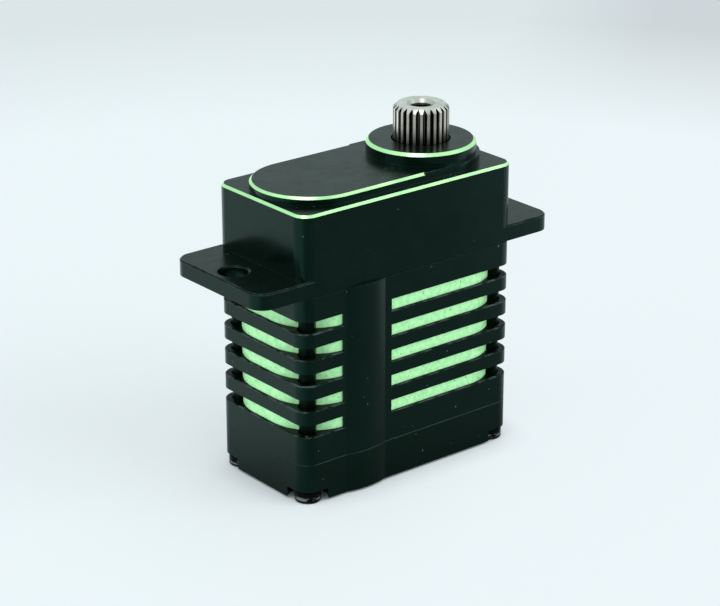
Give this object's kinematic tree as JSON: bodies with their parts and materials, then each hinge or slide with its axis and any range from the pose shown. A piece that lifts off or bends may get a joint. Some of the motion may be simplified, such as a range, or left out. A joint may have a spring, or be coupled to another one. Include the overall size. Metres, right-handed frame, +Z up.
{
  "type": "servo motor",
  "caption": "Compact servo motor in a finned three-part metal case with two mounting ears, a raised round boss and a splined output shaft driven through a spur gear train.",
  "frame": {"origin": "on the floor under the middle of the case, where the four case screw heads stand", "axes": "+X along the case towards the output shaft, +Y across the case, +Z up along the output shaft"},
  "size_m": [0.0322, 0.0126, 0.0309],
  "materials": {
    "black_anodise": "satin black anodise; chamfers and slot floors bright green",
    "black_screw": "black oxide",
    "steel": "machined",
    "gear_steel": "machined",
    "gear_brass": "machined",
    "bearing_steel": "polished",
    "bronze": "satin",
    "rubber": "matte",
    "motor_steel": "plated",
    "magnet": "plated",
    "dark_plastic": "moulded",
    "copper": "lacquered winding",
    "spring_brass": "tinned",
    "resistive_track": "printed",
    "circuit_board": "lacquered",
    "chip_black": "moulded",
    "capacitor": "fired"
  },
  "bodies": {
    "housing": {"top_case": "black_anodise", "middle_case": "black_anodise", "bottom_case": "black_anodise", "case_screws": "black_screw", "upper_bearing_outer": "bearing_steel", "lower_bearing_outer": "bearing_steel", "shaft_o_ring": "rubber", "gear_axle": "steel", "axle_washers": "bronze", "motor_can": "motor_steel", "motor_front_bush": "bronze", "motor_end_cap": "dark_plastic", "motor_magnet": "magnet", "motor_brushes": "spring_brass", "motor_terminals": "spring_brass", "motor_screws": "black_screw", "sensor_body": "dark_plastic", "sensor_track": "resistive_track", "sensor_leads": "spring_brass", "control_board": "circuit_board", "control_chips": "chip_black", "power_transistors": "chip_black", "board_capacitors": "capacitor", "cable_gland": "rubber"},
    "output": {"output_shaft": "steel", "output_gear": "gear_steel", "upper_bearing_inner": "bearing_steel", "lower_bearing_inner": "bearing_steel", "post_spacers": "bronze", "sensor_wiper": "spring_brass"},
    "third_gear": {"third_wheel": "gear_brass", "third_pinion": "gear_steel"},
    "second_gear": {"second_wheel": "gear_brass", "second_pinion": "gear_steel"},
    "first_gear": {"first_wheel": "gear_brass", "first_pinion": "gear_steel"},
    "motor_rotor": {"motor_shaft": "steel", "motor_pinion": "gear_brass", "motor_coil": "copper", "motor_commutator": "copper"},
    "upper_ball_set": {"upper_bearing_balls": "bearing_steel", "upper_bearing_cage": "bronze"},
    "lower_ball_set": {"lower_bearing_balls": "bearing_steel", "lower_bearing_cage": "bronze"}
  },
  "joints": [
    {"name": "output_spin", "type": "hinge", "parent": "housing", "child": "output", "pos_m": [0.006, 0, 0], "axis": [0, 0, 1], "range_deg": [-90, 90]},
    {"name": "third_gear_spin", "type": "hinge", "parent": "housing", "child": "third_gear", "pos_m": [0, 0, 0], "axis": [0, 0, 1], "range_deg": [-238, 238]},
    {"name": "second_gear_spin", "type": "hinge", "parent": "housing", "child": "second_gear", "pos_m": [0.006, 0, 0], "axis": [0, 0, 1], "range_deg": [-752, 752]},
    {"name": "first_gear_spin", "type": "hinge", "parent": "housing", "child": "first_gear", "pos_m": [0, 0, 0], "axis": [0, 0, 1], "range_deg": [-2469, 2469]},
    {"name": "motor_spin", "type": "hinge", "parent": "housing", "child": "motor_rotor", "pos_m": [-0.005, 0, 0], "axis": [0, 0, 1], "range_deg": [-9876, 9876]},
    {"name": "upper_ball_spin", "type": "hinge", "parent": "housing", "child": "upper_ball_set", "pos_m": [0.006, 0, 0], "axis": [0, 0, 1], "range_deg": [-40, 40]},
    {"name": "lower_ball_spin", "type": "hinge", "parent": "housing", "child": "lower_ball_set", "pos_m": [0.006, 0, 0], "axis": [0, 0, 1], "range_deg": [-34, 34]}
  ],
  "couplings": [
    {"joint": "third_gear_spin", "follows": "output_spin", "ratio": -2.6364},
    {"joint": "second_gear_spin", "follows": "output_spin", "ratio": 8.3485},
    {"joint": "first_gear_spin", "follows": "output_spin", "ratio": -27.431},
    {"joint": "motor_spin", "follows": "output_spin", "ratio": 109.72},
    {"joint": "upper_ball_spin", "follows": "output_spin", "ratio": 0.43538},
    {"joint": "lower_ball_spin", "follows": "output_spin", "ratio": 0.37273}
  ]
}
